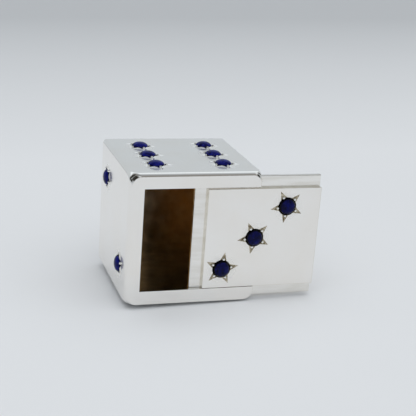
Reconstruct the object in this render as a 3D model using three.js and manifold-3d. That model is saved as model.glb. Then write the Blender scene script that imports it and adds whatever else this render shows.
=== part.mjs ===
// Keepsake box in the form of a die: a silver cube with a sliding lid and domed blue stones for pips.
// Millimetres. +X is the way the lid slides open, -Y is the lid's face, +Z is up.
import * as THREE from 'three';
import { ConvexGeometry } from 'three/addons/geometries/ConvexGeometry.js';
import { mergeVertices } from 'three/addons/utils/BufferGeometryUtils.js';
import Module from 'manifold-3d';

const wasm = await Module();
wasm.setup();

// Sizes of the cube
const side = 32; // outer width, depth and height
const wallThickness = 0.8; // sheet of the folded sleeve
const backThickness = 1.2; // plate that closes the back
const frameThickness = 0.9; // front frame, front to back
const frameWidth = 3.5; // rails and stile of the front frame
const sleeveEdgeRadius = 1.0; // the four edges that run front to back
const frontEdgeInset = 0.6; // how far the rolled front edge pulls in at the top and the sides
const footEdgeInset = 0.2; // the same at the underside
const frontEdgeDepth = 1.9; // how far behind the front that edge starts to roll over
const frontCornerRadius = 2.2; // corners of the front, filed rounder than the sleeve's edges
const cornerBlend = 3.0; // stretch of the sleeve in which its edges widen to those corners
const backEdgeInset = 0.5; // how far the turned back edge pulls in
const backEdgeDepth = 0.9; // how far before the back that edge starts to turn
const backCornerRadius = 1.7;
const edgeLand = 0.2; // straight stretch that the turned edge leaves on the back plate

// Sizes of the lid and of the guides that it runs in
const lidPlateThickness = 1.1; // plate whose edges run behind the frame
const lidOpening = 14.75; // how far the lid stands open
const slideClearance = 0.15; // plate to the frame in front and to the guides behind
const lidBottomClearance = 0.1; // plate to the bottom wall, where its weight lies
const lidTopClearance = 0.2; // plate to the top wall
const panelBottomGap = 0.1; // raised panel to the bottom rail
const panelTopGap = 0.35; // raised panel to the top rail
const panelEndGap = 0.4; // raised panel to the stile when shut
const tongueEndGap = 0.1; // plate to the left wall when shut
const guideWidth = 1.4; // guide strips, across the wall that carries them
const guideDepth = 1.4; // guide strips, front to back

// Sizes of a pip: a domed stone in a star of cut rays, held by one grain of metal at each ray
const stoneRadius = 2.0;
const stoneRise = 1.1; // top of the dome over the metal
const girdleRise = 0.1; // straight part of the stone over the metal
const seatFloor = 0.35; // metal that is left under the stone's blind seat in the sleeve
const seatClearance = 0.06; // stone to the wall of its seat
const rayCount = 5;
const rayLength = 2.05; // from the stone to the tip of a ray
const rayHalfWidth = 0.72; // half the width of a ray at the stone
const rayDepth = 0.26; // depth of a ray at the stone
const rayOverlap = 0.4; // how far inside the seat a ray starts
const rayRunOut = 0.3; // height that the cutter keeps over the metal
const grainRadius = 0.33;
const grainRise = 0.45;
const grainShoulder = 0.12; // height at which the grain starts to round over
const grainGap = 0.04; // grain to the stone
const bodyPipMargin = 7.8; // outer pips to the side of the cube
const lidPipMargin = 8.4; // outer pips of the lid to the side of the shut cube

// Fineness of the round shapes
const cornerSteps = 4;
const blendSteps = 4;
const edgeSteps = 4;
const stationGap = 0.05; // outlines of a loft lie at least this far apart
const stoneSides = 18;
const stoneRings = 4;
const grainSides = 6;

// Planes that several pieces share
const half = side / 2;
const frontPlane = -half;
const frameBack = frontPlane + frameThickness;
const backPlateFront = half - backThickness;
const plateFront = frameBack + slideClearance;
const plateBack = plateFront + lidPlateThickness;
const guideFront = plateBack + slideClearance;
const innerLeft = -half + wallThickness;
const innerRight = half - wallThickness;
const innerBottom = wallThickness;
const innerTop = side - wallThickness;
const beyond = side; // cutters run this far past what they cut

// Places in and round a pip
const seatDepth = wallThickness - seatFloor;
const rayTip = stoneRadius + rayLength;
const rayRoot = stoneRadius - rayOverlap;
const bodyPipPitch = half - bodyPipMargin;
const lidPipPitch = half - lidPipMargin;

// A rounded rectangle as points, counterclockwise, the same number for any radius
function roundedRectangle(halfWidth, low, high, radius) {
  const shape = new THREE.Shape();
  const quarter = Math.PI / 2;
  shape.absarc(halfWidth - radius, low + radius, radius, -quarter, 0);
  shape.absarc(halfWidth - radius, high - radius, radius, 0, quarter);
  shape.absarc(-halfWidth + radius, high - radius, radius, quarter, 2 * quarter);
  shape.absarc(-halfWidth + radius, low + radius, radius, 2 * quarter, 3 * quarter);
  return shape.getPoints(cornerSteps).slice(0, -1);
}

// The square outline of the cube, drawn in by an inset, and by another one at the underside
function cubeOutline(inset, radius, footInset = inset) {
  return roundedRectangle(half - inset, footInset, side - inset, radius);
}

// A closed skin through outlines of equal point counts, from the back one to the front one
function loft(sections) {
  const count = sections[0].outline.length;
  const positions = sections.flatMap(({ outline, y }) => outline.flatMap((p) => [p.x, y, p.y]));
  const index = [];
  for (let s = 0; s + 1 < sections.length; s += 1) {
    for (let i = 0; i < count; i += 1) {
      const next = (i + 1) % count;
      const [a, b, c, d] = [s * count + i, s * count + next, (s + 1) * count + next, (s + 1) * count + i];
      index.push(a, b, c, a, c, d);
    }
  }
  const cap = THREE.ShapeUtils.triangulateShape(sections[0].outline, []);
  const frontStart = (sections.length - 1) * count;
  cap.forEach(([a, b, c]) => index.push(c, b, a, frontStart + a, frontStart + b, frontStart + c));
  const geometry = new THREE.BufferGeometry();
  geometry.setAttribute('position', new THREE.Float32BufferAttribute(positions, 3));
  geometry.setIndex(index);
  return geometry;
}

// Outline of the box at a plane: its corners widen towards the front, where its edge rolls over as a square
function outlineAt(y) {
  const widened = THREE.MathUtils.clamp((frameBack + cornerBlend - y) / cornerBlend, 0, 1) ** 2;
  const rolled = THREE.MathUtils.clamp(1 - (y - frontPlane) / frontEdgeDepth, 0, 1) ** 2;
  const radius = THREE.MathUtils.lerp(sleeveEdgeRadius, frontCornerRadius, widened);
  return cubeOutline(frontEdgeInset * rolled, radius, footEdgeInset * rolled);
}

// Even steps from a start, which is left out
function stepsFrom(start, length, count) {
  return Array.from({ length: count }, (_, i) => start + (length * (i + 1)) / count);
}

// Outlines of the box from one plane to another one before it, close together where the corners or edge turn
function outlinesBetween(back, front) {
  const turning = [
    ...stepsFrom(frameBack, cornerBlend, blendSteps),
    ...stepsFrom(frontPlane, frontEdgeDepth, edgeSteps),
  ];
  const planes = turning
    .filter((y) => y < back - stationGap && y > front + stationGap)
    .sort((a, b) => b - a)
    .filter((y, i, all) => i === 0 || all[i - 1] - y > stationGap);
  return [back, ...planes, front].map((y) => ({ outline: outlineAt(y), y }));
}

// Outlines of the back's edge, which turns through a quarter ellipse, from the flat of the plate to its side
function backEdge() {
  const depth = Math.min(backEdgeDepth, backThickness - edgeLand);
  return Array.from({ length: edgeSteps + 1 }, (_, i) => {
    const angle = (1 - i / edgeSteps) * (Math.PI / 2);
    const turn = 1 - Math.cos(angle);
    const radius = THREE.MathUtils.lerp(sleeveEdgeRadius, backCornerRadius, turn);
    return { outline: cubeOutline(backEdgeInset * turn, radius), y: half - depth * (1 - Math.sin(angle)) };
  });
}

// A box given by its low and high corners
function boxBetween(low, high) {
  const size = new THREE.Vector3().subVectors(high, low);
  const middle = new THREE.Vector3().addVectors(low, high).multiplyScalar(0.5);
  return new THREE.BoxGeometry(size.x, size.y, size.z).translate(middle.x, middle.y, middle.z);
}

// From a closed geometry to a solid that can be joined and cut, and back
function toSolid(geometry) {
  const bare = geometry.clone();
  bare.deleteAttribute('normal');
  bare.deleteAttribute('uv');
  const merged = mergeVertices(bare);
  const vertProperties = new Float32Array(merged.attributes.position.array);
  const triVerts = new Uint32Array(merged.index.array);
  return new wasm.Manifold(new wasm.Mesh({ numProp: 3, vertProperties, triVerts }));
}

function toGeometry(solid) {
  const { vertProperties, triVerts } = solid.getMesh();
  const geometry = new THREE.BufferGeometry();
  geometry.setAttribute('position', new THREE.Float32BufferAttribute(vertProperties, 3));
  geometry.setIndex(Array.from(triVerts));
  geometry.computeVertexNormals();
  return geometry;
}

function joined(geometries) {
  return geometries.map(toSolid).reduce((whole, solid) => whole.add(solid));
}

// Finishes
const silver = () => new THREE.MeshStandardMaterial({ color: 0xd8d6d0, metalness: 1, roughness: 0.18 });
const dullSilver = () => new THREE.MeshStandardMaterial({ color: 0x6b5336, metalness: 1, roughness: 0.45 });
const blueStone = () => new THREE.MeshStandardMaterial({ color: 0x141a6e, metalness: 0, roughness: 0.15 });

function piece(name, geometry, material) {
  const mesh = new THREE.Mesh(geometry, material);
  mesh.name = name;
  return mesh;
}

// The stone: flat base, straight girdle and a dome that is a quarter ellipse in section
function stoneGeometry() {
  const dome = Array.from({ length: stoneRings + 1 }, (_, i) => {
    const angle = (i / stoneRings) * (Math.PI / 2);
    const height = girdleRise + (stoneRise - girdleRise) * Math.sin(angle);
    return new THREE.Vector2(i === stoneRings ? 0 : stoneRadius * Math.cos(angle), height);
  });
  const profile = [new THREE.Vector2(0, -seatDepth), new THREE.Vector2(stoneRadius, -seatDepth), ...dome];
  const lathe = new THREE.LatheGeometry(profile, stoneSides).rotateX(Math.PI / 2);
  return toGeometry(toSolid(lathe));
}

// A ray: a tapered V groove, deepest at the stone and running out at its tip, as the cutter that makes it
function rayCutter(turn) {
  const slope = (rayTip - rayRoot) / (rayTip - stoneRadius);
  const keel = rayDepth * slope;
  const grow = 1 + rayRunOut / keel;
  const wide = rayHalfWidth * slope * grow;
  const corners = [
    new THREE.Vector3(rayTip + (rayTip - rayRoot) * (grow - 1), 0, rayRunOut),
    new THREE.Vector3(rayRoot, 0, -keel),
    new THREE.Vector3(rayRoot, wide, rayRunOut),
    new THREE.Vector3(rayRoot, -wide, rayRunOut),
  ];
  return new ConvexGeometry(corners).rotateZ(turn);
}

// A grain: a round post that stands in the foot of a ray and leans its dome over the stone's edge
function grainGeometry(turn) {
  const halfway = Math.SQRT1_2; // sine and cosine of the middle of the rounding
  const profile = [
    new THREE.Vector2(0, -seatDepth),
    new THREE.Vector2(grainRadius, -seatDepth),
    new THREE.Vector2(grainRadius, grainShoulder),
    new THREE.Vector2(grainRadius * halfway, THREE.MathUtils.lerp(grainShoulder, grainRise, halfway)),
    new THREE.Vector2(0, grainRise),
  ];
  const post = new THREE.LatheGeometry(profile, grainSides).rotateX(Math.PI / 2);
  return post.translate(stoneRadius + grainGap + grainRadius, 0, 0).rotateZ(turn);
}

const rayTurns = Array.from({ length: rayCount }, (_, i) => (i / rayCount) * 2 * Math.PI);

// The seat and its rays as one cutter, and the grains that are left standing, in the pip's own frame
function seatCutter() {
  const height = seatDepth + rayRunOut;
  const bore = new THREE.CylinderGeometry(
    stoneRadius + seatClearance,
    stoneRadius + seatClearance,
    height,
    stoneSides,
  ).rotateX(Math.PI / 2).translate(0, 0, height / 2 - seatDepth);
  return toGeometry(joined([bore, ...rayTurns.map(rayCutter)]));
}

const pipCutter = seatCutter();
const pipGrains = rayTurns.map(grainGeometry);
const pipStone = stoneGeometry();

// Frame of a face: its middle, the two directions across it and its outward normal
function faceFrame(across, up, middle) {
  const normal = new THREE.Vector3().crossVectors(across, up);
  return new THREE.Matrix4().makeBasis(across, up, normal).setPosition(middle);
}

const X = new THREE.Vector3(1, 0, 0);
const Y = new THREE.Vector3(0, 1, 0);
const Z = new THREE.Vector3(0, 0, 1);
const minus = (axis) => axis.clone().negate();

// Each face of the die: its frame, the pitch of its grid, and its pips as grid steps and a turn in degrees.
// Opposite faces add up to seven.
const faces = {
  top: {
    frame: faceFrame(X, Y, new THREE.Vector3(0, 0, side)),
    pitch: bodyPipPitch,
    pips: [[-1, 1, -7], [-1, 0, -7], [-1, -1, -5], [1, 1, -9], [1, 0, -10], [1, -1, -6]],
  },
  left: {
    frame: faceFrame(minus(Y), Z, new THREE.Vector3(-half, 0, half)),
    pitch: bodyPipPitch,
    pips: [[-1, 1, 54], [1, -1, 20]],
  },
  right: {
    frame: faceFrame(Y, Z, new THREE.Vector3(half, 0, half)),
    pitch: bodyPipPitch,
    pips: [[-1, -1, 12], [-1, 1, 18], [0, 0, 40], [1, -1, 30], [1, 1, 8]],
  },
  back: {
    frame: faceFrame(minus(X), Z, new THREE.Vector3(0, half, half)),
    pitch: bodyPipPitch,
    pips: [[-1, -1, 24], [-1, 1, 44], [1, -1, 10], [1, 1, 36]],
  },
  bottom: {
    frame: faceFrame(X, minus(Y), new THREE.Vector3(0, 0, 0)),
    pitch: bodyPipPitch,
    pips: [[0, 0, 18]],
  },
  lid: {
    frame: faceFrame(X, Z, new THREE.Vector3(0, frontPlane, half)),
    pitch: lidPipPitch,
    pips: [[-1, -1, 9], [0, 0, 44], [1, 1, 45]],
  },
};

function pipPlaces(face) {
  const { frame, pitch, pips } = faces[face];
  return pips.map(([across, up, degrees]) => {
    const turned = new THREE.Matrix4().makeRotationZ(THREE.MathUtils.degToRad(degrees));
    return frame.clone().multiply(turned.setPosition(across * pitch, up * pitch, 0));
  });
}

// Cuts the seats and rays of the named faces into a piece of sheet, and leaves their grains standing
function setWithStars(solid, faceNames) {
  const places = faceNames.flatMap(pipPlaces);
  const placed = (geometry, place) => toSolid(geometry.clone().applyMatrix4(place));
  const cut = places.reduce((sheet, place) => sheet.subtract(placed(pipCutter, place)), solid);
  const grains = places.flatMap((place) => pipGrains.map((grain) => placed(grain, place)));
  return grains.reduce((sheet, grain) => sheet.add(grain), cut);
}

function stones(face) {
  return pipPlaces(face).map((place, i) => {
    const stone = piece(`stone_${face}_${i + 1}`, pipStone, blueStone());
    stone.applyMatrix4(place);
    return stone;
  });
}

// The sleeve: one sheet folded round four sides, its right wall cut back so that the lid can pass
function wallBand() {
  const sleeve = toSolid(loft(outlinesBetween(backPlateFront, frameBack)));
  const inside = boxBetween(
    new THREE.Vector3(innerLeft, frameBack - beyond, innerBottom),
    new THREE.Vector3(innerRight, backPlateFront + beyond, innerTop),
  );
  const passage = boxBetween(
    new THREE.Vector3(innerRight - wallThickness, frameBack - beyond, innerBottom),
    new THREE.Vector3(half + beyond, guideFront, innerTop),
  );
  const band = sleeve.subtract(toSolid(inside)).subtract(toSolid(passage));
  return setWithStars(band, ['top', 'left', 'right', 'bottom']);
}

// The back: a plate over the sleeve's end with a turned edge
function backPlate() {
  const plate = loft([...backEdge(), { outline: cubeOutline(0, sleeveEdgeRadius), y: backPlateFront }]);
  return setWithStars(toSolid(plate), ['back']);
}

// The front frame: top rail, stile and bottom rail in one piece, open at the right for the lid
function frontFrame() {
  const plate = loft(outlinesBetween(frameBack, frontPlane));
  const mouth = boxBetween(
    new THREE.Vector3(-half + frameWidth, frontPlane - beyond, frameWidth),
    new THREE.Vector3(half + beyond, frameBack + beyond, side - frameWidth),
  );
  return toSolid(plate).subtract(toSolid(mouth));
}

// Guide strips behind the lid's plate: along the top, the bottom and the left wall
function guideRails() {
  const guideBack = guideFront + guideDepth;
  const strip = (left, right, low, high) =>
    boxBetween(new THREE.Vector3(left, guideFront, low), new THREE.Vector3(right, guideBack, high));
  return {
    guide_rail_top: strip(innerLeft, innerRight, innerTop - guideWidth, innerTop),
    guide_rail_bottom: strip(innerLeft, innerRight, innerBottom, innerBottom + guideWidth),
    guide_rail_left: strip(
      innerLeft,
      innerLeft + guideWidth,
      innerBottom + guideWidth,
      innerTop - guideWidth,
    ),
  };
}

// The lid, drawn shut: a plate whose edges run behind the frame, and a raised panel that fills the mouth
function lidPlate() {
  return boxBetween(
    new THREE.Vector3(innerLeft + tongueEndGap, plateFront, innerBottom + lidBottomClearance),
    new THREE.Vector3(half, plateBack, innerTop - lidTopClearance),
  );
}

function lidPanel() {
  const panel = boxBetween(
    new THREE.Vector3(-half + frameWidth + panelEndGap, frontPlane, frameWidth + panelBottomGap),
    new THREE.Vector3(half, plateFront, side - frameWidth - panelTopGap),
  );
  return setWithStars(toSolid(panel), ['lid']);
}

// Assembly: the lid stands open in a group of its own
const lid = new THREE.Group();
lid.position.x = lidOpening;
lid.add(
  piece('lid_slide_plate', lidPlate(), silver()),
  piece('lid_face_panel', toGeometry(lidPanel()), silver()),
  ...stones('lid'),
);

const diceBox = new THREE.Group();
diceBox.add(
  piece('wall_band', toGeometry(wallBand()), silver()),
  piece('back_plate', toGeometry(backPlate()), silver()),
  piece('front_frame', toGeometry(frontFrame()), silver()),
  ...Object.entries(guideRails()).map(([name, strip]) => piece(name, strip, dullSilver())),
  ...['top', 'left', 'right', 'back', 'bottom'].flatMap(stones),
  lid,
);

// The origin is under the middle of the open box, level with the stone that it stands on
const leftReach = -half - stoneRise;
const rightReach = half + Math.max(stoneRise, lidOpening);
diceBox.position.set(-(leftReach + rightReach) / 2, 0, stoneRise);
diceBox.updateMatrixWorld(true);

export default diceBox;
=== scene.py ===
# %% [markdown]
# # A silver dice box with blue stones
# The box is a cube of sheet silver in the form of a die. Its front is a lid that slides out to the right,
# and its pips are domed blue stones, each held by five grains of metal in a star of cut rays.
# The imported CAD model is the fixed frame: it says where every piece is and how the lid slides.
# This lesson makes the fine surfaces around it, so nothing here moves or resizes a CAD part.

# %% Load the fixed frame
import math

import bmesh
import bpy
import numpy as np
from mathutils import Matrix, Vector
from mathutils.geometry import delaunay_2d_cdt


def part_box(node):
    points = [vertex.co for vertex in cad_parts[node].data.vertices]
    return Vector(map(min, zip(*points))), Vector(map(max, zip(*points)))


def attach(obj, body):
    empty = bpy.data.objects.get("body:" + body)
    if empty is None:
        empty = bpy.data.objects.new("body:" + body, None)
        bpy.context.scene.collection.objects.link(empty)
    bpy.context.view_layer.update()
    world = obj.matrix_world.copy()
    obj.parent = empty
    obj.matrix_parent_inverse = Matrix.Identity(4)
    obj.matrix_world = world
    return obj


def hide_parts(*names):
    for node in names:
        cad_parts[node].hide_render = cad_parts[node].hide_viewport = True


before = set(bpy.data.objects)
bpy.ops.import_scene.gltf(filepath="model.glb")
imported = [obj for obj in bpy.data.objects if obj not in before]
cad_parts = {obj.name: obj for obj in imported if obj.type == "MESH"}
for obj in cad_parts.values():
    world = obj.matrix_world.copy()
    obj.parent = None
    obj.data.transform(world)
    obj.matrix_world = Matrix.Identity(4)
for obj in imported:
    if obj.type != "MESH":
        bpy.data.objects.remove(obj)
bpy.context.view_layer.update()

# %% [markdown]
# ## Planes of the cube
# Every surface below is worked out in millimetres and becomes metres when it is put into a mesh.
# The main planes come from the CAD nodes' own boxes, so the looks follow the model if it changes size.
# A box says nothing of a sheet's thickness or a radius, so those are written as real sizes further down,
# each where it is first needed.

# %% Planes and sizes
MM = 0.001


def node_box(node):
    """Lowest and highest corner of a CAD node at rest, in millimetres."""
    return np.array(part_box(node)) / MM


(LEFT, SLEEVE_BACK, BOTTOM), (RIGHT, _, TOP) = node_box("back_plate")
FRONT, FRAME_BACK = node_box("front_frame")[:, 1]
SIDE = RIGHT - LEFT
BACK = FRONT + SIDE
print(f"cube of {SIDE:.2f} mm, frame {FRAME_BACK - FRONT:.2f} mm thick, underside at {BOTTOM:.2f} mm")

# %% [markdown]
# ## Patches
# All surfaces are made of patches: points, triangles, and the number of a finish for each triangle.
# A patch is either a grid of points, which is a function of two parameters, or a flat region that is filled
# between its outlines. Filling uses Blender's constrained triangulation, because a flat sheet with round
# windows has no simple grid.

# %% Patches
POLISHED, BRIGHT_CUT, DULL_CUT, INSIDE, EDGE, SEAT, RUBBED = range(7)
WELD = 1e-7


def grid_patch(points, finish=POLISHED):
    """Two triangles for each cell of a grid; the last three axes are rows, columns and x, y, z."""
    index = np.arange(points[..., 0].size).reshape(points.shape[:-1])
    a, b = index[..., :-1, :-1], index[..., :-1, 1:]
    d, c = index[..., 1:, :-1], index[..., 1:, 1:]
    triangles = np.stack([a, b, c, a, c, d], axis=-1).reshape(-1, 3)
    return points.reshape(-1, 3), triangles, np.full(len(triangles), finish)


def inside_loop(points, loop):
    """Even-odd rule: inside, a ray to the right crosses the loop an odd number of times."""
    x, y = points[:, :1], points[:, 1:]
    (x0, y0), (x1, y1) = loop.T, np.roll(loop, -1, axis=0).T
    crosses = (y0 > y) != (y1 > y)
    rise = np.where(y1 == y0, 1.0, y1 - y0)
    return (crosses & (x < x0 + (y - y0) * (x1 - x0) / rise)).sum(axis=1) % 2 == 1


def flat_patch(axis, value, outline, windows=(), finish=POLISHED):
    """The flat region between an outline and its windows, on the plane where one axis has a fixed value.
    All points are triangulated, and a triangle stays if its middle is in the outline and in no window."""
    loops = [np.asarray(outline, float), *windows]
    points = np.concatenate(loops)
    starts = np.cumsum([0] + [len(loop) for loop in loops[:-1]])
    rings = [np.arange(len(loop)) + start for loop, start in zip(loops, starts)]
    edges = np.concatenate([np.stack([ring, np.roll(ring, -1)], axis=1) for ring in rings])
    result = delaunay_2d_cdt(points.tolist(), edges.tolist(), [], 0, WELD)
    triangles = np.array(result[2])
    middles = points[triangles].mean(axis=1)
    keep = inside_loop(middles, loops[0])
    for window in loops[1:]:
        keep &= ~inside_loop(middles, window)
    triangles = triangles[keep]
    return np.insert(points, axis, value, axis=1), triangles, np.full(len(triangles), finish)


print("triangles of a grid of 3 by 4 points:", len(grid_patch(np.zeros((3, 4, 3)))[1]))

# %% [markdown]
# ## From patches to a piece
# The patches of a piece share the points along their borders, so welding them gives one closed skin.
# A cube with bevels would be quicker, but the stars couldn't then be part of the sheet. A polished face
# mirrors every bend, so the shading is smooth, except at edges where the skin bends hard.
# A point can also carry a number named rim, which the finishes read: how near it is to the rim of a stone.

# %% Pieces
SHARP_ANGLE = math.radians(18)


def welded_mesh(name, patches, rim):
    """One mesh of all patches: doubles merged, faces turned outwards, edges sharp where it bends hard."""
    starts = np.cumsum([0] + [len(points) for points, _, _ in patches[:-1]])
    points = np.concatenate([p for p, _, _ in patches]) * MM
    triangles = np.concatenate([t + start for (_, t, _), start in zip(patches, starts)])
    finishes = np.concatenate([f for _, _, f in patches])
    mesh = bpy.data.meshes.new(name)
    mesh.from_pydata(points, [], triangles)
    mesh.polygons.foreach_set("material_index", finishes.astype(np.int32))
    if rim is not None:
        mesh.attributes.new("rim", "FLOAT", "POINT").data.foreach_set("value", rim.astype(np.float32))
    skin = bmesh.new()
    skin.from_mesh(mesh)
    bmesh.ops.remove_doubles(skin, verts=skin.verts, dist=WELD)
    bmesh.ops.dissolve_degenerate(skin, edges=skin.edges, dist=WELD)
    bmesh.ops.recalc_face_normals(skin, faces=skin.faces)
    open_edges = sum(not edge.is_manifold for edge in skin.edges)
    skin.to_mesh(mesh)
    skin.free()
    mesh.polygons.foreach_set("use_smooth", np.ones(len(mesh.polygons), bool))
    mesh.set_sharp_from_angle(angle=SHARP_ANGLE)
    if open_edges:
        print(f"{name}: {open_edges} open edges")
    return mesh


def make_piece(name, patches, finishes, body, replaced, rim=None):
    """A welded mesh with its finishes, which rides on a body and stands for a CAD node."""
    mesh = welded_mesh(name, patches, rim)
    for finish in finishes:
        mesh.materials.append(finish)
    piece = bpy.data.objects.new(name, mesh)
    bpy.context.scene.collection.objects.link(piece)
    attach(piece, body)
    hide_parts(replaced)
    return piece


print("edges sharper than", round(math.degrees(SHARP_ANGLE)), "degrees stay sharp")

# %% [markdown]
# ## Finishes
# All finishes are made of nodes that read Object coordinates, in metres, so a pattern keeps its real size.
# Such nodes can be drawn by hand in the shader editor. Here many finishes share a recipe, so short helpers
# add the nodes and link them instead.

# %% Node helpers


def add_node(tree, kind, settings=None, **inputs):
    """Adds a shader node; each input, named with _ for a space, is a value or another node's output."""
    node = tree.nodes.new("ShaderNode" + kind)
    for key, value in (settings or {}).items():
        setattr(node, key, value)
    for key, value in inputs.items():
        plug(tree, value, node.inputs[key.replace("_", " ")])
    return node


def plug(tree, value, socket):
    """Links an output to a socket, or sets the socket to a value."""
    if isinstance(value, bpy.types.NodeSocket):
        tree.links.new(value, socket)
    else:
        socket.default_value = value


def new_material(name):
    """An empty node material: the material, its tree, its main shader and its Object coordinates."""
    material = bpy.data.materials.new(name)
    material.use_nodes = True
    tree = material.node_tree
    coordinates = add_node(tree, "TexCoord").outputs["Object"]
    return material, tree, tree.nodes["Principled BSDF"], coordinates


def mixed(tree, factor, first, second):
    """A colour between two colours; each is a list of four numbers or an output."""
    node = add_node(tree, "Mix", {"data_type": "RGBA"})
    for place, value in ((0, factor), (6, first), (7, second)):
        plug(tree, value, node.inputs[place])
    return node.outputs[2]


def joined(tree, operation, first, second):
    """The result of an operation on two outputs, such as their sum or their product."""
    node = add_node(tree, "Math", {"operation": operation})
    tree.links.new(first, node.inputs[0])
    tree.links.new(second, node.inputs[1])
    return node.outputs[0]


def spread(tree, value, low, high, to_low=0.0, to_high=1.0):
    """A value stretched from one range to another and kept inside it."""
    ranges = dict(From_Min=low, From_Max=high, To_Min=to_low, To_Max=to_high)
    return add_node(tree, "MapRange", Value=value, **ranges).outputs[0]


def rim_value(tree):
    """The number that each point of the mesh carries for the finishes."""
    return add_node(tree, "Attribute", {"attribute_name": "rim"}).outputs["Fac"]


print("helpers add nodes, link them, mix colours and stretch values")

# %% [markdown]
# ## Silver
# The metal is one recipe with different values: polished sheet, rays that are cut bright in the walls and
# dull in the lid, where they are tarnished tan and also painted darker as shade, the brown inside, worn
# edges, blackened seats, and the lid's plate, which is rubbed into streaks where it slides. One noise lays
# patches of a second colour over the first, another one varies the roughness, and a very fine stretched noise
# raises the hair lines that a cloth leaves.
# A polishing wheel can't get close to a stone, so there the sheet turns from bright to satin.

# %% Silver
PATCH_NOISE = dict(Detail=5.0, Roughness=0.6)
HAZE_NOISE = dict(Scale=400.0, Detail=3.0)
HAIR_NOISE = dict(Scale=1.0, Detail=2.0)
NOISE_RANGE = (0.3, 0.7)
HAIR_STRETCH = (300.0, 9000.0, 9000.0)
HAIR_DEPTH = 0.00002


def silver(name, ground, patch, patch_size, patch_edges, roughness, hair=0.1, stretch=1.0, satin=0.0):
    """Silver of a ground colour with patches of another one, about patch_size millimetres wide and drawn
    out along x by a stretch. It is rougher by up to satin towards the rim of a stone."""
    material, tree, shader, coordinates = new_material(name)
    drawn = add_node(tree, "Mapping", Vector=coordinates, Scale=(1 / stretch, 1, 1)).outputs[0]
    patches = add_node(tree, "TexNoise", Vector=drawn, Scale=1 / (patch_size * MM), **PATCH_NOISE)
    share = spread(tree, patches.outputs["Fac"], *patch_edges)
    haze = add_node(tree, "TexNoise", Vector=coordinates, **HAZE_NOISE)
    polish = spread(tree, haze.outputs["Fac"], *NOISE_RANGE, *roughness)
    dulled = spread(tree, rim_value(tree), 0.0, 1.0, 0.0, satin)
    lines = add_node(tree, "Mapping", Vector=coordinates, Scale=HAIR_STRETCH).outputs[0]
    hairs = add_node(tree, "TexNoise", Vector=lines, **HAIR_NOISE)
    bump = add_node(tree, "Bump", Height=hairs.outputs["Fac"], Strength=hair, Distance=HAIR_DEPTH)
    plug(tree, 1.0, shader.inputs["Metallic"])
    plug(tree, mixed(tree, share, (*ground, 1), (*patch, 1)), shader.inputs["Base Color"])
    plug(tree, joined(tree, "ADD", polish, dulled), shader.inputs["Roughness"])
    plug(tree, bump.outputs["Normal"], shader.inputs["Normal"])
    return material


METAL = (
    silver(
        "polished_silver", ground=(0.925, 0.905, 0.875), patch=(0.9, 0.865, 0.815), patch_size=14,
        patch_edges=(0.4, 0.75), roughness=(0.07, 0.14), hair=0.05, satin=0.38),
    silver(
        "bright_cut_silver", ground=(0.94, 0.93, 0.91), patch=(0.86, 0.83, 0.78), patch_size=0.9,
        patch_edges=(0.4, 0.75), roughness=(0.12, 0.22)),
    # Painted shade: the lid's cut rays are much darker than the walls' rays, over a tan tarnish
    silver(
        "dull_cut_silver_painted_shade", ground=(0.56, 0.5, 0.385), patch=(0.17, 0.13, 0.07), patch_size=0.6,
        patch_edges=(0.42, 0.6), roughness=(0.2, 0.34)),
    silver(
        "inside_silver", ground=(0.7, 0.54, 0.35), patch=(0.91, 0.73, 0.49), patch_size=8,
        patch_edges=(0.38, 0.66), roughness=(0.16, 0.26)),
    silver(
        "edge_silver", ground=(0.84, 0.8, 0.73), patch=(0.66, 0.6, 0.5), patch_size=3,
        patch_edges=(0.4, 0.75), roughness=(0.16, 0.28)),
    silver(
        "seat_silver", ground=(0.05, 0.042, 0.034), patch=(0.02, 0.018, 0.016), patch_size=0.7,
        patch_edges=(0.4, 0.7), roughness=(0.4, 0.6)),
    silver(
        "rubbed_silver", ground=(0.91, 0.89, 0.855), patch=(0.78, 0.755, 0.7), patch_size=1.2,
        patch_edges=(0.4, 0.75), roughness=(0.1, 0.2), stretch=9.0),
)
print("metal finishes:", [finish.name for finish in METAL])

# %% [markdown]
# ## Blue stone
# The stones are opaque dark blue with royal blue mottling and a few paler flecks, polished to a hard gloss.
# Their edge is painted black, as shade and dirt in the seat. That edge isn't a place in space, so it comes
# from the number at each point: on a stone it is the share of the radius. The lid's stones are painted darker
# and the others lighter, as painted shade and light, so the recipe takes that factor as its shade.

# %% Blue stone
DEEP, ROYAL, PALE = (0.0012, 0.0018, 0.03), (0.005, 0.008, 0.165), (0.06, 0.07, 0.32)
# Painted light and shade: the walls' stones are painted lighter and the lid's stones darker
WALL_PAINTED_LIGHT, LID_PAINTED_SHADE = 1.15, 0.55
MOTTLE_NOISE = dict(Scale=900.0, Detail=6.0, Roughness=0.65)
MOTTLE_EDGES = (0.38, 0.68)
FLECK_NOISE = dict(Scale=3200.0, Detail=2.0)
FLECK_EDGES = (0.62, 0.76)
FLECK_STRENGTH = 0.5
# Painted shade and dirt: the black at a stone's edge, in the seat
RIM_SHADE_AND_DIRT = (0.001, 0.001, 0.004, 1)
RIM_SHARE = (0.95, 1.0)
STONE_ROUGHNESS = (0.1, 0.2)
STONE_SPECULAR = 0.1


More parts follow.
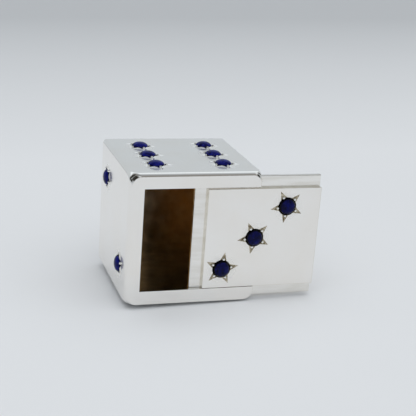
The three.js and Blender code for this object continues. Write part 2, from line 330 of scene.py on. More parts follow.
def blue_stone_finish(name, shade):
    """Navy to royal blue by a noise, paler flecks by a finer one, all times a shade that paints light on the
    walls' stones and shade on the lid's, and black at the rim as painted shade and dirt.
    """
    material, tree, shader, coordinates = new_material(name)
    deep, royal, pale = [(*[shade * part for part in colour], 1) for colour in (DEEP, ROYAL, PALE)]
    mottle = add_node(tree, "TexNoise", Vector=coordinates, **MOTTLE_NOISE).outputs["Fac"]
    fleck = add_node(tree, "TexNoise", Vector=coordinates, **FLECK_NOISE).outputs["Fac"]
    blue = mixed(tree, spread(tree, mottle, *MOTTLE_EDGES), deep, royal)
    blue = mixed(tree, spread(tree, fleck, *FLECK_EDGES, 0.0, FLECK_STRENGTH), blue, pale)
    blue = mixed(tree, spread(tree, rim_value(tree), *RIM_SHARE), blue, RIM_SHADE_AND_DIRT)
    plug(tree, blue, shader.inputs["Base Color"])
    plug(tree, spread(tree, mottle, *NOISE_RANGE, *STONE_ROUGHNESS), shader.inputs["Roughness"])
    plug(tree, STONE_SPECULAR, shader.inputs["Specular IOR Level"])
    return material


# Copies of one stone: in painted light for the walls, in painted shade for the lid
wall_stone = blue_stone_finish("blue_stone", WALL_PAINTED_LIGHT)
lid_stone = blue_stone_finish("stone_in_painted_shade", LID_PAINTED_SHADE)
print("stone finishes:", wall_stone.name, lid_stone.name)

# %% [markdown]
# ## Outlines with round corners
# The box's plates are rectangles with round corners, lofted from the back to the front. On each side of a
# round there is one more point or ring very close to it. It holds the flat surface beside the round truly
# flat, and a polished flat that isn't held shows a bent reflection.

# %% Rounded outlines and lofts
HOLD = 0.05
CORNER_STEPS = 12
QUARTER = np.pi / 2
CORNER_ANGLES = np.linspace(0, QUARTER, CORNER_STEPS + 1)


def corner_points(centre, radius, start, angles):
    """An arc round a centre, counterclockwise from a start angle, with a holding point past each end."""
    turned = start + angles
    arc = np.stack([np.cos(turned), np.sin(turned)], axis=1)
    tangent = np.stack([-np.sin(turned), np.cos(turned)], axis=1)
    points = centre + radius * arc
    return np.concatenate([points[:1] - HOLD * tangent[:1], points, points[-1:] + HOLD * tangent[-1:]])


def corners(low, high, radius, angles=(CORNER_ANGLES,) * 4):
    """Four round corners of a rectangle: bottom right, top right, top left, bottom left."""
    (x0, z0), (x1, z1) = np.add(low, radius), np.subtract(high, radius)
    centres = np.array([(x1, z0), (x1, z1), (x0, z1), (x0, z0)])
    return [corner_points(c, radius, (i - 1) * QUARTER, angles[i]) for i, c in enumerate(centres)]


def loft(loops, heights, closed=True, finish=POLISHED):
    """A skin through outlines in x and z, one for each y; a closed one joins its last column to its first."""
    rows = np.stack([np.insert(loop, 1, y, axis=1) for loop, y in zip(loops, heights)])
    if closed:
        rows = np.concatenate([rows, rows[:, :1]], axis=1)
    return grid_patch(rows, finish)


print("corner of", len(CORNER_ANGLES), "points")

# %% [markdown]
# ## A pip: seat, star and grains
# A pip is cut into the sheet: a round blind seat for the stone, and five rays that a graver cuts outwards
# from it. A ray is a V groove, wide and deep at the stone and running out to nothing at its tip, so it has
# two flat facets. Between the rays the sheet rises a little to the stone, where it was pressed up against
# it. The thick lid panel hardly rose, and the gap round its stones is wider and black.
# All this fills a round window in a flat sheet, so a face stays one skin with its stars.

# %% Sizes of a pip
STONE_RADIUS = 2.0
SEAT_DEPTH = 0.45
RAYS = 5
WALL_SETTING = dict(seat=2.08, lip=0.16, tip=4.05, half_width=0.98, depth=0.17, finish=BRIGHT_CUT)
# The lid's rays take the dull cut, which is painted darker as shade
LID_SETTING = dict(seat=2.26, lip=0.03, tip=4.2, half_width=0.84, depth=0.22, finish=DULL_CUT)
print(f"stones of {2 * STONE_RADIUS:.1f} mm, stars of {2 * WALL_SETTING['tip']:.1f} mm on the walls")

# %% [markdown]
# ### The star
# A ray is a surface of two parameters: how far along it, and how far across it from edge to edge.
# The webs between the rays are arcs from one ray's edge to the next one's, so no edge is lost between
# columns. A boolean cut would take less thought, but it leaves slivers that a polished face shows.

# %% Star
LIP_WIDTH = 1.2
RAY_COLUMNS = 9
RAY_ROWS = 14
ROW_CROWDING = 1.4
RIM_ROUNDS = 4
WEB_COLUMNS = 9


def ray_fall(along, tip):
    """Share of its width and depth that a ray still has at a distance from the middle of the stone."""
    return (tip - along) / (tip - STONE_RADIUS)


def lip_rise(radius, seat, lip):
    """Height of the sheet pressed up against the stone: it falls off as a square within the lip's width."""
    return lip * np.clip(1 - (radius - seat) / LIP_WIDTH, 0, 1) ** 2


def spun(points, turn):
    """Five turned copies of a grid of points, as one array with the copies first."""
    angles = (turn + np.arange(RAYS) * 2 * np.pi / RAYS).reshape(-1, 1, 1)
    c, s = np.cos(angles), np.sin(angles)
    x, y, z = np.moveaxis(points, -1, 0)
    return np.stack([c * x - s * y, s * x + c * y, z + 0 * c], axis=-1)


def ray_grid(seat, lip, tip, half_width, depth):
    """A ray's point lies at a distance along it, at a share u of its half width to either side, and at a
    depth under the lip that falls from the keel to the edges as 1 - |u|. The first row lies on the seat's
    rim, where the distance is the square root of the radius squared less the width squared. The width
    depends on that distance, so a few rounds settle both."""
    u = np.linspace(-1, 1, RAY_COLUMNS)
    t = np.linspace(0, 1, RAY_ROWS)[:, None] ** ROW_CROWDING
    start = np.full_like(u, seat)
    for _ in range(RIM_ROUNDS):
        start = np.sqrt(seat ** 2 - (u * half_width * ray_fall(start, tip)) ** 2)
    along = start + (tip - start) * t
    fall = ray_fall(along, tip)
    aside = u * half_width * fall
    height = lip_rise(np.hypot(along, aside), seat, lip) - depth * (1 - np.abs(u)) * fall
    return np.stack([along, aside, height], axis=-1)


def star_grids(turn, seat, lip, tip, half_width, depth, finish):
    """Grids of one pip in its own frame, with the sheet at height 0: rays, webs and seat.
    A web's point lies on an arc between the edges of two rays, at the height of the lip. The seat drops
    from the inner ends of both to its flat floor."""
    ray = ray_grid(seat, lip, tip, half_width, depth)
    edge = ray[:, -1]
    radius = np.hypot(edge[:, 0], edge[:, 1])[:, None]
    edge_angle = np.arctan2(edge[:, 1], edge[:, 0])[:, None]
    angle = edge_angle + np.linspace(0, 1, WEB_COLUMNS) * (2 * np.pi / RAYS - 2 * edge_angle)
    height = lip_rise(radius, seat, lip) + 0 * angle
    web = np.stack([radius * np.cos(angle), radius * np.sin(angle), height], axis=-1)
    rim = np.concatenate([ray[0], web[0]])
    foot = rim * np.array([1, 1, 0]) - np.array([0, 0, SEAT_DEPTH])
    hole = np.stack([rim, foot, foot * np.array([0, 0, 1])])
    return [(spun(ray, turn), finish), (spun(web, turn), POLISHED), (spun(hole, turn), SEAT)]


print("points of a star:", sum(grid.size // 3 for grid, _ in star_grids(0, **WALL_SETTING)))

# %% [markdown]
# ### The grains
# A grain is a curl of metal that the setter raised at the foot of a ray and pushed over the stone's edge.
# Here it is a small round post with a domed top, which leans towards the stone. It is a closed skin of its
# own that stands in the ray, because a weld to the ray's facets would not be seen.

# %% Grains
GRAIN_PLACE = 2.46
GRAIN_RADIUS = 0.32
GRAIN_SHOULDER = 0.12
GRAIN_RISE = 0.38
GRAIN_LEAN = 0.3
GRAIN_COLUMNS = 16
GRAIN_ROWS = 7


def grain_grid(turn):
    """Five grains: a round post with a domed top, leaning towards the stone in proportion to its height."""
    dome = np.linspace(0, QUARTER, GRAIN_ROWS)
    top = GRAIN_SHOULDER + (GRAIN_RISE - GRAIN_SHOULDER) * np.sin(dome)
    radius = np.concatenate([[0, GRAIN_RADIUS], GRAIN_RADIUS * np.cos(dome)])[:, None]
    height = np.concatenate([[-SEAT_DEPTH] * 2, top])[:, None]
    around = np.linspace(0, 2 * np.pi, GRAIN_COLUMNS + 1)
    x = GRAIN_PLACE - GRAIN_LEAN * np.maximum(height, 0) + radius * np.cos(around)
    return spun(np.stack([x, radius * np.sin(around), height + 0 * around], axis=-1), turn)


print("points of the grains:", grain_grid(0).size // 3)

# %% [markdown]
# ## The six faces
# A face has two directions across it and a plane, and the stones' CAD nodes give the places of its pips.
# No two stars were cut at quite the same angle, so each pip has its own turn. Each point of a sheet also
# gets its nearness to a stone, and the silver's finish turns that into satin.

# %% Faces and their windowed sheets
SATIN_REACH = 2.4
X, Y, Z = np.eye(3)
# Across, up, the plane's axis and place, and the turn of each pip in degrees
FACES = {
    "top": (X, Y, 2, TOP, (-7, -7, -5, -9, -10, -6)),
    "left": (-Y, Z, 0, LEFT, (54, 20)),
    "right": (Y, Z, 0, RIGHT, (12, 18, 40, 30, 8)),
    "back": (-X, Z, 1, BACK, (24, 44, 10, 36)),
    "bottom": (X, -Y, 2, BOTTOM, (18,)),
    "lid": (X, Z, 1, FRONT, (9, 44, 45)),
}


def pip_places(face):
    """For each pip of a face: its number, its middle on the face's plane and its turn."""
    _, _, axis, plane, turns = FACES[face]
    for number, degrees in enumerate(turns, start=1):
        middle = node_box(f"stone_{face}_{number}").mean(axis=0)
        middle[axis] = plane
        yield number, middle, math.radians(degrees)


def placed(face, middle, points):
    """Points of a pip's own frame moved onto a face: across, up and outwards."""
    across, up = FACES[face][:2]
    return middle + points @ np.stack([across, up, np.cross(across, up)])


def starred_sheet(face, outline):
    """A face's flat sheet with a round window at each pip, and the star and grains that fill each window."""
    axis, plane = FACES[face][2:4]
    setting = LID_SETTING if face == "lid" else WALL_SETTING
    patches, windows = [], []
    for _, middle, turn in pip_places(face):
        grids = star_grids(turn, **setting)
        patches += [grid_patch(placed(face, middle, points), finish) for points, finish in grids]
        patches.append(grid_patch(placed(face, middle, grain_grid(turn)), BRIGHT_CUT))
        rim = placed(face, middle, grids[1][0][:, -1, :-1].reshape(-1, 3))
        windows.append(np.delete(rim, axis, axis=1))
    return [flat_patch(axis, plane, outline, windows), *patches]


def rim_nearness(patches, faces):
    """Nearness of each point of the patches to a stone: one at its rim, down to zero over the satin's reach.
    The distance is to the nearest middle of a pip."""
    middles = np.array([middle for face in faces for _, middle, _ in pip_places(face)])
    points = np.concatenate([points for points, _, _ in patches])
    distance = np.linalg.norm(points[:, None] - middles, axis=2).min(axis=1)
    return np.clip(1 - (distance - STONE_RADIUS) / SATIN_REACH, 0, 1)


print("pips:", sum(len(face[4]) for face in FACES.values()))

# %% [markdown]
# ## The box's outline
# One sheet is folded round the top, left, bottom and right sides, with a small radius at each fold.
# The front frame was soldered on, and then its edge was filed and polished until it rolls over into the
# sheet, with rounder corners. So the outline changes along y: near the front its corners widen and its sides
# draw in, each as the square of the way through its own stretch, which starts without a bend in the
# reflection. The underside was hardly filed, so it draws in less.

# %% Outline along the box
WALL = 0.8
SLEEVE_RADIUS, CORNER_RADIUS = 1.0, 2.2
BLEND = 3.0
ROLL_DEPTH, ROLL_INSET, FOOT_INSET = 1.9, 0.6, 0.2
LONG_STEPS, SHORT_STEPS = 10, 5
LOW_RIGHT, HIGH_RIGHT, HIGH_LEFT, LOW_LEFT = range(4)
CUT_FIRST, CUT_LAST = SHORT_STEPS + 1, LONG_STEPS + 1


def two_stretches(middle, before, after):
    """A quarter turn in two evenly stepped stretches that meet at a given angle."""
    first, second = np.linspace(0, middle, before + 1), np.linspace(middle, QUARTER, after + 1)
    return np.concatenate([first, second[1:]])


def box_corners(y, drawn=0.0):
    """Corners of the outline at y, drawn in a little more. Each right corner has a point where the wall's
    inner plane cuts it: there the arc's sine is the radius plus the inset less the wall, over the radius."""
    widened = np.clip((FRAME_BACK + BLEND - y) / BLEND, 0, 1) ** 2
    rolled = np.clip(1 - (y - FRONT) / ROLL_DEPTH, 0, 1) ** 2
    radius = SLEEVE_RADIUS + (CORNER_RADIUS - SLEEVE_RADIUS) * widened
    inset, foot = ROLL_INSET * rolled, FOOT_INSET * rolled
    high_cut = two_stretches(math.asin((radius + inset - WALL) / radius), SHORT_STEPS, LONG_STEPS)
    low_cut = two_stretches(QUARTER - math.asin((radius + foot - WALL) / radius), LONG_STEPS, SHORT_STEPS)
    low = (LEFT + inset + drawn, BOTTOM + foot + drawn)
    high = (RIGHT - inset - drawn, TOP - inset - drawn)
    return corners(low, high, radius - drawn, (low_cut, high_cut, high_cut, high_cut))


print(f"front edge drawn in {ROLL_INSET} mm over {ROLL_DEPTH} mm")

# %% [markdown]
# ## The sleeve
# The folds are strips of the outline carried from front to back, and the walls between them roll over at the
# front and are windowed flat sheets behind. The right wall is cut back at the front, where the lid's plate
# slides out, so its two folds are split lengthwise and the wall's half of each starts further back.

# %% Folds and walls of the sleeve
GUIDE_FRONT = node_box("guide_rail_top")[0][1]
ROLL_END = FRONT + ROLL_DEPTH
STRETCH_STATIONS = 9
stations = np.unique(np.concatenate([
    np.linspace(FRAME_BACK, ROLL_END, STRETCH_STATIONS),
    np.linspace(ROLL_END + HOLD, FRAME_BACK + BLEND, STRETCH_STATIONS),
    [GUIDE_FRONT, SLEEVE_BACK],
]))
FLAT = int(np.searchsorted(stations, ROLL_END + HOLD / 2))
PASSAGE = int(np.searchsorted(stations, GUIDE_FRONT))
folds = np.array([box_corners(y) for y in stations])


def strip(corner, columns=slice(None), first=0):
    """A stretch of a fold carried from front to back, starting at a station."""
    return loft(folds[first:, corner, columns], stations[first:], closed=False)


def rolled_wall(before, after):
    """The wall between two folds where it rolls over at the front."""
    sides = np.stack([folds[:FLAT + 1, before, -1], folds[:FLAT + 1, after, 0]], axis=1)
    return loft(sides, stations[:FLAT + 1], closed=False)


def wall_outline(before, after, axis, first=FLAT):
    """Outline of the flat wall between two folds, across and y: back along one, forward along the other."""
    there = np.stack([folds[first:, before, -1, axis], stations[first:]], axis=1)
    again = np.stack([folds[first:, after, 0, axis], stations[first:]], axis=1)
    return np.concatenate([there, again[::-1]])


outer_patches = [
    strip(LOW_LEFT),
    strip(HIGH_LEFT),
    strip(LOW_RIGHT, slice(None, CUT_LAST + 1)),
    strip(LOW_RIGHT, slice(CUT_LAST, None), PASSAGE),
    strip(HIGH_RIGHT, slice(None, CUT_FIRST + 1), PASSAGE),
    strip(HIGH_RIGHT, slice(CUT_FIRST, None)),
    rolled_wall(HIGH_RIGHT, HIGH_LEFT),
    rolled_wall(HIGH_LEFT, LOW_LEFT),
    rolled_wall(LOW_LEFT, LOW_RIGHT),
    *starred_sheet("top", wall_outline(HIGH_RIGHT, HIGH_LEFT, 0)),
    *starred_sheet("bottom", wall_outline(LOW_LEFT, LOW_RIGHT, 0)),
    *starred_sheet("left", wall_outline(HIGH_LEFT, LOW_LEFT, 1)[:, ::-1]),
    *starred_sheet("right", wall_outline(LOW_RIGHT, HIGH_RIGHT, 1, PASSAGE)[:, ::-1]),
]
print("stations along the sleeve:", len(stations))

# %% [markdown]
# The inside is the same outline one wall's thickness further in, with a small radius, and it takes the brown
# finish. Flat patches close the rims. In front of the right wall the top and bottom walls end in a bare edge,
# so their inner planes run on there as far as the split in the fold.

# %% Inside and rims of the sleeve
INNER_RADIUS = 0.3
INNER_LEFT, INNER_RIGHT = LEFT + WALL, RIGHT - WALL
INNER_BOTTOM, INNER_TOP = BOTTOM + WALL, TOP - WALL
inner = corners((INNER_LEFT, INNER_BOTTOM), (INNER_RIGHT, INNER_TOP), INNER_RADIUS)
inner_loop = np.concatenate(inner)
inner_left = np.concatenate([inner[HIGH_LEFT], inner[LOW_LEFT]])
inner_right = np.concatenate([inner[LOW_RIGHT], inner[HIGH_RIGHT]])
front_rim = np.concatenate([
    folds[0, HIGH_RIGHT, CUT_FIRST:], folds[0, HIGH_LEFT], folds[0, LOW_LEFT],
    folds[0, LOW_RIGHT, :CUT_LAST + 1], inner_left[::-1]])
right_rim = np.concatenate([
    folds[PASSAGE, LOW_RIGHT, CUT_LAST:], folds[PASSAGE, HIGH_RIGHT, :CUT_FIRST + 1], inner_right[-2:0:-1]])


def passage_plane(corner, column):
    """Outline in x and y of the top or bottom wall's inside in front of the right wall, out to the split
    fold. Its back edge has the points of the inside's own corners."""
    cut = np.stack([folds[:PASSAGE + 1, corner, column, 0], stations[:PASSAGE + 1]], axis=1)
    back_x = np.array([inner_right[1, 0], inner_right[0, 0], inner_left[0, 0]])
    back = np.stack([back_x, np.full_like(back_x, GUIDE_FRONT)], axis=1)
    return np.concatenate([[(back_x[-1], FRAME_BACK)], cut, back])


sleeve_patches = [
    *outer_patches,
    loft([inner_loop] * 2, (GUIDE_FRONT, SLEEVE_BACK), finish=INSIDE),
    loft([inner_left] * 2, (FRAME_BACK, GUIDE_FRONT), closed=False, finish=INSIDE),
    flat_patch(2, INNER_TOP, passage_plane(HIGH_RIGHT, CUT_FIRST), finish=INSIDE),
    flat_patch(2, INNER_BOTTOM, passage_plane(LOW_RIGHT, CUT_LAST), finish=INSIDE),
    flat_patch(1, FRAME_BACK, front_rim, finish=EDGE),
    flat_patch(1, GUIDE_FRONT, right_rim, finish=EDGE),
    flat_patch(1, SLEEVE_BACK, folds[-1].reshape(-1, 2), [inner_loop], finish=EDGE),
]
sleeve_rim = rim_nearness(sleeve_patches, ("top", "left", "right", "bottom"))
sleeve = make_piece("sleeve_sheet", sleeve_patches, METAL, "box", "wall_band", sleeve_rim)
print("sleeve:", len(sleeve.data.polygons), "triangles")

# %% [markdown]
# ## The front frame
# The frame goes on with the outline's roll, and its front arris is barely broken. It is open at the right, so
# its outline runs from the end of the top rail round the stile to the end of the bottom rail, and then back
# along the three sides of the mouth, whose arris is broken in the same way. A bevel modifier would break the
# arris too, but not while the roll draws the outline in.

# %% Mouth frame
FRAME_WIDTH = 3.5
ARRIS = 0.07
ROLL_RINGS, ARRIS_RINGS = 12, 6
MOUTH_LEFT, MOUTH_LOW, MOUTH_HIGH = LEFT + FRAME_WIDTH, BOTTOM + FRAME_WIDTH, TOP - FRAME_WIDTH


def frame_loops(y, drawn):
    """Outer path and mouth path of the frame at y; the arris draws both into the metal."""
    right_bottom, right_top, left_top, left_bottom = box_corners(y, drawn)
    end = right_top[0, 0]
    low, high, side = MOUTH_LOW - drawn, MOUTH_HIGH + drawn, MOUTH_LEFT - drawn
    outer = np.concatenate([[(end, high)], right_top, left_top, left_bottom, right_bottom, [(end, low)]])
    return outer, np.array([(end, low), (side, low), (side, high), (end, high)])


arris_angle = np.linspace(0, QUARTER, ARRIS_RINGS + 1)[1:]
frame_y = np.concatenate([
    np.linspace(FRAME_BACK, FRONT + ARRIS, ROLL_RINGS), FRONT + ARRIS * (1 - np.sin(arris_angle)), [FRONT]])
frame_drawn = np.concatenate([np.zeros(ROLL_RINGS), ARRIS * (1 - np.cos(arris_angle)), [ARRIS + HOLD]])
outer_loops, mouth_loops = zip(*[frame_loops(y, drawn) for y, drawn in zip(frame_y, frame_drawn)])
mouth_frame = make_piece("mouth_frame", [
    loft(outer_loops, frame_y, closed=False),
    loft(mouth_loops, frame_y, closed=False),
    flat_patch(1, FRONT, np.concatenate([outer_loops[-1][:-1], mouth_loops[-1][:-1]])),
    flat_patch(1, FRAME_BACK, np.concatenate([outer_loops[0][:-1], mouth_loops[0][:-1]]), finish=INSIDE),
], METAL, "box", "front_frame")
print("mouth frame:", len(mouth_frame.data.polygons), "triangles")

# %% [markdown]
# ## The back cover
# The back is a closed plate whose outer edge was filed round. So the edge turns through a quarter ellipse,
# and the flat's own corners are rounder than the sleeve's.

# %% Back cover
EDGE_STEPS = 14
BACK_EDGE = dict(depth=0.9, inset=0.5, radius=SLEEVE_RADIUS, flat_radius=1.7)


def turned_edge(face, inward, depth, inset, radius, flat_radius):
    """Rings of an edge that turns through a quarter ellipse: rows of inset, corner radius and y.
    With the angle a, the inset grows as 1 - cos a and the ring nears the face as 1 - sin a."""
    angle = np.linspace(0, QUARTER, EDGE_STEPS + 1)
    turn = 1 - np.cos(angle)
    rings = np.stack([
        inset * turn,
        radius + (flat_radius - radius) * turn,
        face + inward * depth * (1 - np.sin(angle)),
    ], axis=1)
    before = (0, radius, face + inward * (depth + HOLD))
    after = (inset + HOLD, flat_radius - HOLD, face)
    return np.concatenate([[before], rings, [after]])


def drawn_in(low, high, inset, radius):
    """A closed outline with round corners, drawn in by an inset."""
    return np.concatenate(corners(np.add(low, inset), np.subtract(high, inset), radius))


rings = np.concatenate([[(0, SLEEVE_RADIUS, SLEEVE_BACK)], turned_edge(BACK, -1, **BACK_EDGE)])
loops = [drawn_in((LEFT, BOTTOM), (RIGHT, TOP), inset, radius) for inset, radius, _ in rings]
back_patches = [
    loft(loops, rings[:, 2]),
    *starred_sheet("back", loops[-1]),
    flat_patch(1, SLEEVE_BACK, loops[0], finish=INSIDE),
]
back_rim = rim_nearness(back_patches, ("back",))
back_cover = make_piece("back_cover", back_patches, METAL, "box", "back_plate", back_rim)
print("back cover:", len(back_cover.data.polygons), "triangles")

# %% [markdown]
# ## The lid
# The lid is a thin plate that runs behind the frame, with a thicker panel soldered on that fills the mouth.
# Both are slabs with broken edges, so one function makes them: a rectangle with small round corners, lofted
# from its back edge to its front edge. The plate's edges are rubbed rounder than the panel's.

# %% Slabs
BROKEN_EDGE = 0.05
TONGUE_EDGE = 0.25
SLAB_CORNER = 0.12


def slab(low, high, side, back, broken=BROKEN_EDGE):
    """Patches of a slab without its front, and the front's outline. Its edges at the front and the back are
    broken by a quarter circle."""
    (x0, y0, z0), (x1, y1, z1) = low, high
    edge = dict(depth=broken, inset=broken, radius=SLAB_CORNER, flat_radius=SLAB_CORNER)
    rings = np.concatenate([turned_edge(y1, -1, **edge)[::-1], turned_edge(y0, 1, **edge)])
    loops = [drawn_in((x0, z0), (x1, z1), inset, radius) for inset, radius, _ in rings]
    return [loft(loops, rings[:, 2], finish=side), flat_patch(1, y1, loops[0], finish=back)], loops[-1]


plate_low, plate_high = node_box("lid_slide_plate")
panel_low, panel_high = node_box("lid_face_panel")
panel_sides, panel_outline = slab((panel_low[0], FRONT, panel_low[2]), panel_high, EDGE, POLISHED)
panel_patches = [*panel_sides, *starred_sheet("lid", panel_outline)]
panel_rim = rim_nearness(panel_patches, ("lid",))
lid_panel = make_piece(
    "lid_panel", panel_patches, METAL, "lid", "lid_face_panel", panel_rim)
tongue_sides, tongue_outline = slab(plate_low, plate_high, RUBBED, INSIDE, TONGUE_EDGE)
lid_tongue = make_piece(
    "lid_tongue", [*tongue_sides, flat_patch(1, plate_low[1], tongue_outline, finish=RUBBED)],
    METAL, "lid", "lid_slide_plate")
print("lid:", len(lid_panel.data.polygons) + len(lid_tongue.data.polygons), "triangles")

# %% [markdown]
# ## The runners
# Three strips behind the lid's plate keep it from falling into the box. They are hidden in the photograph, so
# they are plain slabs with the same tarnish as the inside.

# %% Runners
for place in ("top", "bottom", "left"):
    low, high = node_box(f"guide_rail_{place}")
    sides, outline = slab(low, high, INSIDE, INSIDE)
    make_piece(
        f"runner_{place}", [*sides, flat_patch(1, low[1], outline, finish=INSIDE)],
        METAL, "box", f"guide_rail_{place}")
    print(f"runner_{place}:", np.round(high - low, 2), "mm")

# %% [markdown]
# ## The stones
# A cabochon has a flat base, a straight girdle in the seat, and a dome that the grains press on. The dome is
# a quarter ellipse turned round the axis, so a stone is one profile on a grid of profile points by angles.
# It could be a squashed sphere, but the grid also gives the share of the radius at each point, which the
# finish needs for the black edge of painted shade and dirt. That black is painted wider on the lid's stones,
# so their share is a little higher.

# %% Stones
STONE_RISE = 1.1
STONE_COLUMNS = 64
STONE_ROWS = 20
# Painted shade and dirt: the lid's stones turn black further in from their edge
LID_RIM_SHADE_AND_DIRT = 0.1


def stone_patch(face, middle):
    """A profile turned round the pip's axis, and the share of the stone's radius at each of its points."""
    dome = np.linspace(0, QUARTER, STONE_ROWS)
    radius = np.concatenate([[0, STONE_RADIUS], STONE_RADIUS * np.cos(dome)])[:, None]
    height = np.concatenate([[-SEAT_DEPTH, -SEAT_DEPTH], STONE_RISE * np.sin(dome)])[:, None]
    around = np.linspace(0, 2 * np.pi, STONE_COLUMNS + 1)
    points = np.stack([radius * np.cos(around), radius * np.sin(around), height + 0 * around], axis=-1)
    rim_shade_and_dirt = LID_RIM_SHADE_AND_DIRT if face == "lid" else 0.0
    share = np.broadcast_to(radius / STONE_RADIUS + rim_shade_and_dirt, points.shape[:2]).copy()
    share[0] = 1
    return grid_patch(placed(face, middle, points)), share.ravel()


for face in FACES:
    body, finish = ("lid", lid_stone) if face == "lid" else ("box", wall_stone)
    for number, middle, _ in pip_places(face):
        patch, share = stone_patch(face, middle)
        node = f"stone_{face}_{number}"
        make_piece(f"cabochon_{face}_{number}", [patch], [finish], body, node, share)
    print("stones of the", face, "face:", number)

# %% [markdown]
# ## Table, light and camera
# The box stands on one domed stone, so on a table it rocks a little to its right and to the front, under the
# weight of the open lid. The frame keeps the box level, so the table is tilted instead.

# %% Table
LEAN_RIGHT, LEAN_FRONT = np.tan(np.radians([1.5, 1.5]))
TABLE_SIZE = 4000.0
TABLE_COLOURS = ((0.7, 0.728, 0.757, 1), (0.685, 0.714, 0.745, 1))
TABLE_NOISE = dict(Scale=12.0, Detail=3.0)
TABLE_ROUGHNESS, TABLE_SPECULAR = 0.85, 0.2
# Painted shade: the card turns darker far behind the box
FAR_PAINTED_SHADE = (0.46, 0.485, 0.51, 1)
FAR = (0.12, 0.55)


def table_finish():
    """Matt pale card with a very faint mottling, painted darker far behind the box as shade."""
    material, tree, shader, coordinates = new_material("pale_card")
    cloud = add_node(tree, "TexNoise", Vector=coordinates, **TABLE_NOISE)
    y = add_node(tree, "SeparateXYZ", Vector=coordinates).outputs["Y"]
    card = mixed(tree, cloud.outputs["Fac"], *TABLE_COLOURS)
    card = mixed(tree, spread(tree, y, *FAR), card, FAR_PAINTED_SHADE)
    plug(tree, card, shader.inputs["Base Color"])
    plug(tree, TABLE_ROUGHNESS, shader.inputs["Roughness"])
    plug(tree, TABLE_SPECULAR, shader.inputs["Specular IOR Level"])
    return material


middle_x = (LEFT + RIGHT) / 2
span = np.array([-1.0, 1.0]) * TABLE_SIZE / 2
table_x, table_y = np.meshgrid(middle_x + span, span, indexing="ij")
table_z = LEAN_RIGHT * (table_x - middle_x) - LEAN_FRONT * table_y
points, triangles, _ = grid_patch(np.stack([table_x, table_y, table_z], axis=-1))
table_mesh = bpy.data.meshes.new("table")
table_mesh.from_pydata(points * MM, [], triangles)
table_mesh.materials.append(table_finish())
table = bpy.data.objects.new("table", table_mesh)
bpy.context.scene.collection.objects.link(table)
print("table slope to the right:", round(LEAN_RIGHT, 4))

# %% [markdown]
# Polished metal shows no light of its own, only what is around it. So its reflections see a studio: a pale
# backdrop, a bright panel high at the back, a dim room high in front, a lamp straight overhead, and three
# black cards, two to the left and one to the right. They draw the fine bright and dark lines along the round
# edges. Panels and cards could be objects, but those would stand in the way when the box is seen from behind.

# %% Studio for reflections
# Height of a direction and the level of light there
STUDIO = (
    (0.0, 0.635), (0.48, 0.62), (0.56, 0.98), (0.7, 0.98), (0.78, 0.68),
    (0.86, 0.45), (0.92, 0.32), (0.957, 0.24), (0.98, 0.27), (0.992, 0.55))
STUDIO_TINT = (0.914, 0.985, 1.04)
ROOM = (0.26, 0.25, 0.235, 1)
ROOM_DEPTHS = (0.45, 0.2)
ROOM_HEIGHTS = (0.3, 0.85, 0.957, 0.975)
CARD = (0.03, 0.028, 0.024, 1)
# How far to a side each card starts, its heights and its depths, with soft borders
CARDS = (
    ((-0.12, -0.25), (0.06, 0.16, 0.4, 0.46), (0.0, 0.06, 0.36, 0.46)),
    ((-0.12, -0.25), (0.4, 0.46, 0.94, 0.97), (-0.42, -0.34, 0.18, 0.3)),
    ((0.6, 0.75), (0.18, 0.28, 0.6, 0.7), (0.0, 0.06, 0.36, 0.46)),
)


def within(tree, value, outer_low, low, high, outer_high):
    """One between low and high, zero outside the outer pair, and a slope between."""
    rise, fall = spread(tree, value, outer_low, low), spread(tree, value, outer_high, high)
    return joined(tree, "MULTIPLY", rise, fall)


def studio(tree, x, y, z):
    """What reflections see in a direction: a level by its height, less of it high in front, and black cards.
    The ramp's own last stop stays white, as the lamp overhead."""
    ramp = add_node(tree, "ValToRGB", Fac=z)
    stops = ramp.color_ramp.elements
    colours = [(*[level * tint for tint in STUDIO_TINT], 1) for _, level in STUDIO]
    stops[0].color = colours[0]
    for (height, _), colour in zip(STUDIO[1:], colours[1:]):
        stops.new(height).color = colour
    front = joined(tree, "MULTIPLY", spread(tree, y, *ROOM_DEPTHS), within(tree, z, *ROOM_HEIGHTS))
    seen = mixed(tree, front, ramp.outputs["Color"], ROOM)
    for side, heights, depths in CARDS:
        card = joined(tree, "MULTIPLY", within(tree, z, *heights), within(tree, y, *depths))
        card = joined(tree, "MULTIPLY", spread(tree, x, *side), card)
        seen = mixed(tree, card, seen, CARD)
    return seen


print("studio levels:", len(STUDIO), "cards:", len(CARDS))

# %% [markdown]
# A soft sky, brightest overhead and a little to the front, lights the table and the stones.
# Light Path tells the kinds of ray apart: only what the camera sees mirrored is the studio, and the light
# that the metal throws back on the table is the soft sky's own.

# %% Soft sky
BACKDROP = (0.7, 0.73, 0.76, 1)
SKY_LOW, SKY_HIGH = (0.25, 0.25, 0.25, 1), (1.6, 1.6, 1.6, 1)
SKY_MIDDLE = (0, -0.2, 0.98)
SKY_EDGES = (0.42, 0.85)


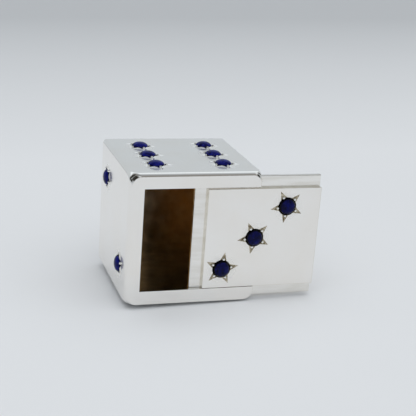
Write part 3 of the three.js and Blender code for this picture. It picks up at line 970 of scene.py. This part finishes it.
def soft_sky():
    """A soft sky for matt surfaces, the studio for reflections and a plain backdrop for the camera.
    The sky's level follows the cosine of the angle from its brightest direction."""
    world = bpy.data.worlds.new("soft_sky")
    bpy.context.scene.world = world
    world.use_nodes = True
    world.cycles.sampling_method = "NONE"
    tree = world.node_tree
    direction = add_node(tree, "TexCoord").outputs["Generated"]
    x, y, z = add_node(tree, "SeparateXYZ", Vector=direction).outputs
    path = add_node(tree, "LightPath").outputs
    nearness = add_node(tree, "VectorMath", {"operation": "DOT_PRODUCT"}, Vector=direction)
    nearness.inputs[1].default_value = SKY_MIDDLE
    soft = mixed(tree, spread(tree, nearness.outputs["Value"], *SKY_EDGES), SKY_LOW, SKY_HIGH)
    direct = spread(tree, path["Diffuse Depth"], 0.0, 1.0, 1.0, 0.0)
    mirrored = joined(tree, "MULTIPLY", path["Is Glossy Ray"], direct)
    light = mixed(tree, mirrored, soft, studio(tree, x, y, z))
    light = mixed(tree, path["Is Camera Ray"], light, BACKDROP)
    plug(tree, light, tree.nodes["Background"].inputs["Color"])
    return world


print("sky:", soft_sky().name)

# %% [markdown]
# The camera's place, turn and lens come from fitting the cube's edges and pips to the photograph.
# The lens is long and the picture is square, so the focal length is given in pixels of that picture.

# %% Camera
IMAGE = 416
FOCAL_PIXELS = 1013.3
SENSOR = 36.0
CLIP = (0.01, 20)
CAMERA_PLACE = np.array([-66.40, -227.45, 96.38])
CAMERA_AZIMUTH, CAMERA_ELEVATION, CAMERA_ROLL = np.radians([-18.1, 18.09, 4.30])


def camera_axes(azimuth, elevation, roll):
    """Right, up and backward directions of a camera that looks at the front, turned, raised and rolled."""
    level = math.cos(elevation)
    back = np.array([math.sin(azimuth) * level, -math.cos(azimuth) * level, math.sin(elevation)])
    right = np.array([math.cos(azimuth), math.sin(azimuth), 0])
    up = np.cross(back, right)
    c, s = math.cos(roll), math.sin(roll)
    return np.stack([c * right + s * up, c * up - s * right, back])


lens = bpy.data.cameras.new("camera")
lens.sensor_width = SENSOR
lens.lens = FOCAL_PIXELS * SENSOR / IMAGE
lens.clip_start, lens.clip_end = CLIP
camera = bpy.data.objects.new("camera", lens)
bpy.context.scene.collection.objects.link(camera)
turn = camera_axes(CAMERA_AZIMUTH, CAMERA_ELEVATION, CAMERA_ROLL).T
place = (CAMERA_PLACE + [middle_x, 0, BOTTOM]) * MM
camera.matrix_world = Matrix.Translation(place) @ Matrix(turn.tolist()).to_4x4()
bpy.context.scene.camera = camera
bpy.context.scene.view_settings.view_transform = "Standard"
print("lens", round(lens.lens, 2), "mm")
